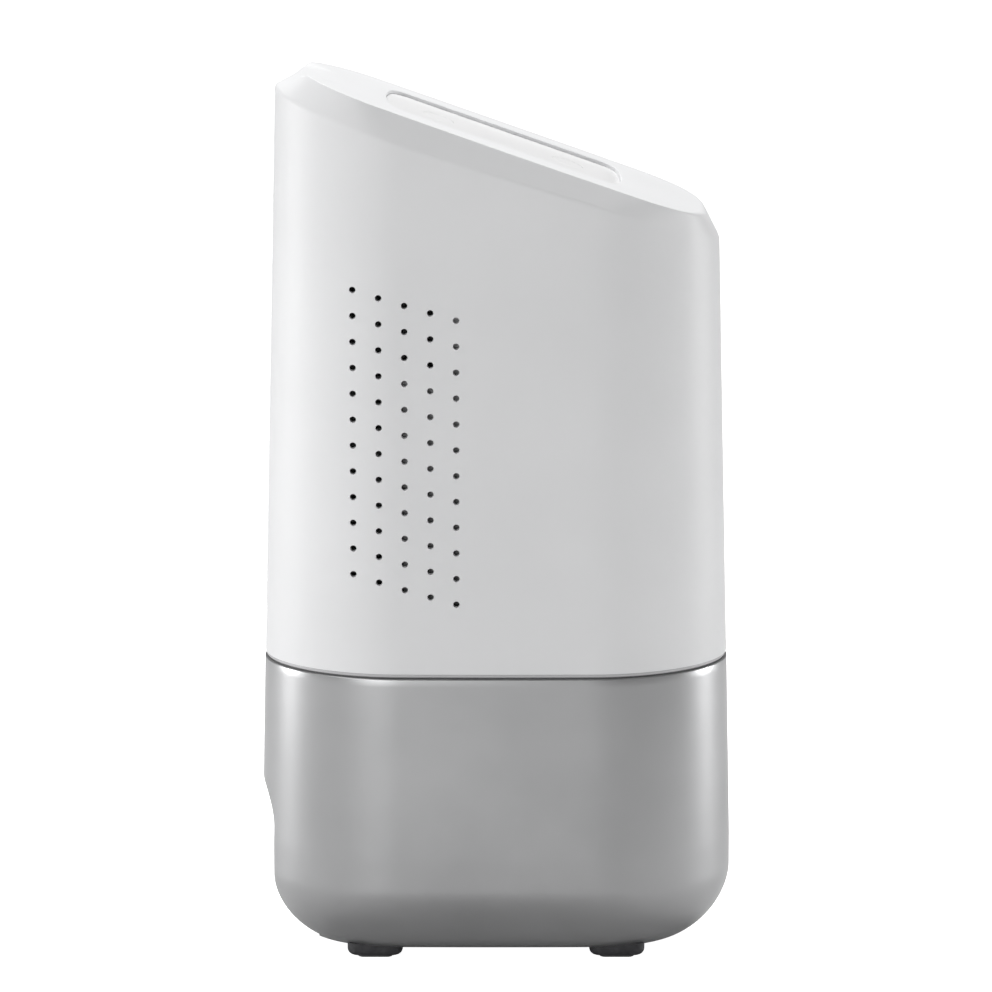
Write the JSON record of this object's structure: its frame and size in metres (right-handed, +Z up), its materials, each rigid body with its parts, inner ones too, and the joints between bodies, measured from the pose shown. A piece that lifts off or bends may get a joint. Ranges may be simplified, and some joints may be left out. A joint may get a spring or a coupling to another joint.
{
  "type": "dehumidifier",
  "caption": "Small slim thermoelectric dehumidifier with a slanted top: white head over a grey lift-off water tank on rubber feet.",
  "frame": {"origin": "on the floor under the centre of the plan outline", "axes": "+Z up, +X towards the low end of the slanted top, -Y towards the side with the air intake"},
  "size_m": [0.1637, 0.0792, 0.3125],
  "materials": {
    "tank_metallic": "satin silver-grey metallic paint on moulded plastic",
    "white_shell": "semi-gloss white moulded plastic",
    "panel_gloss": "gloss white moulded plastic",
    "key_gloss": "gloss white moulded plastic",
    "lid_plastic": "light grey moulded plastic",
    "chassis_plastic": "off-white moulded plastic",
    "funnel_plastic": "light grey moulded plastic",
    "carrier_plastic": "light grey moulded plastic",
    "baffle_plastic": "light grey moulded plastic",
    "cage_plastic": "white moulded plastic",
    "float_foam": "closed-cell foam",
    "fan_plastic": "black glass-filled plastic",
    "jack_black": "black moulded plastic",
    "switch_black": "black moulded plastic",
    "board_green": "solder-masked glass-fibre board",
    "board_parts_black": "electronic components",
    "insulation_foam": "closed-cell foam",
    "module_ceramic": "alumina ceramic plates with semiconductor pellets",
    "lamp_clear": "clear moulded plastic",
    "foot_rubber": "dark grey rubber",
    "pad_rubber": "grey rubber",
    "seal_rubber": "dark grey silicone",
    "heatsink_aluminium": "extruded aluminium",
    "screw_steel": "zinc-plated steel",
    "magnet_metal": "nickel-plated magnet",
    "bearing_brass": "sintered bronze"
  },
  "bodies": {
    "tank": {"tank_shell": "tank_metallic", "feet": "foot_rubber", "foot_pads": "pad_rubber"},
    "lid": {"tank_lid": "lid_plastic", "lid_seal": "seal_rubber", "float_cage": "cage_plastic"},
    "float": {"float_body": "float_foam", "float_magnet": "magnet_metal"},
    "head": {"housing": "white_shell", "chassis": "chassis_plastic", "chassis_screws": "screw_steel", "drip_funnel": "funnel_plastic", "carrier": "carrier_plastic", "carrier_screws": "screw_steel", "intake_baffle": "baffle_plastic", "cold_heatsink": "heatsink_aluminium", "insulation_frame": "insulation_foam", "peltier_module": "module_ceramic", "hot_heatsink": "heatsink_aluminium", "clamp_screws": "screw_steel", "fan_frame": "fan_plastic", "fan_bearing": "bearing_brass", "fan_screws": "screw_steel", "main_board": "board_green", "board_parts": "board_parts_black", "level_sensor": "board_green", "dc_jack": "jack_black", "control_board": "board_green", "control_screws": "screw_steel", "tact_switches": "switch_black", "indicator_lamps": "lamp_clear", "light_guides": "lamp_clear", "control_panel": "panel_gloss"},
    "fan_rotor": {"fan_rotor": "fan_plastic"},
    "power_key": {"power_key": "key_gloss", "power_plunger": "switch_black"},
    "light_key": {"light_key": "key_gloss", "light_plunger": "switch_black"}
  },
  "joints": [
    {"name": "head_lift", "type": "slide", "parent": "tank", "child": "head", "axis": [0, 0, 1], "range_m": [0, 0.12]},
    {"name": "lid_lift", "type": "slide", "parent": "tank", "child": "lid", "axis": [0, 0, 1], "range_m": [0, 0.05]},
    {"name": "float_rise", "type": "slide", "parent": "lid", "child": "float", "axis": [0, 0, 1], "range_m": [0, 0.018]},
    {"name": "fan_spin", "type": "hinge", "parent": "head", "child": "fan_rotor", "pos_m": [-0.006, 0.02, 0.1736], "axis": [0, 1, 0], "continuous": true},
    {"name": "power_press", "type": "slide", "parent": "head", "child": "power_key", "axis": [-0.3338, 0, -0.9426], "range_m": [0, 0.0005], "stiffness_N_per_m": 400},
    {"name": "light_press", "type": "slide", "parent": "head", "child": "light_key", "axis": [-0.3338, 0, -0.9426], "range_m": [0, 0.0005], "stiffness_N_per_m": 400}
  ],
  "couplings": [
    {"joint": "lid_lift", "follows": "head_lift", "ratio": 0.4}
  ]
}
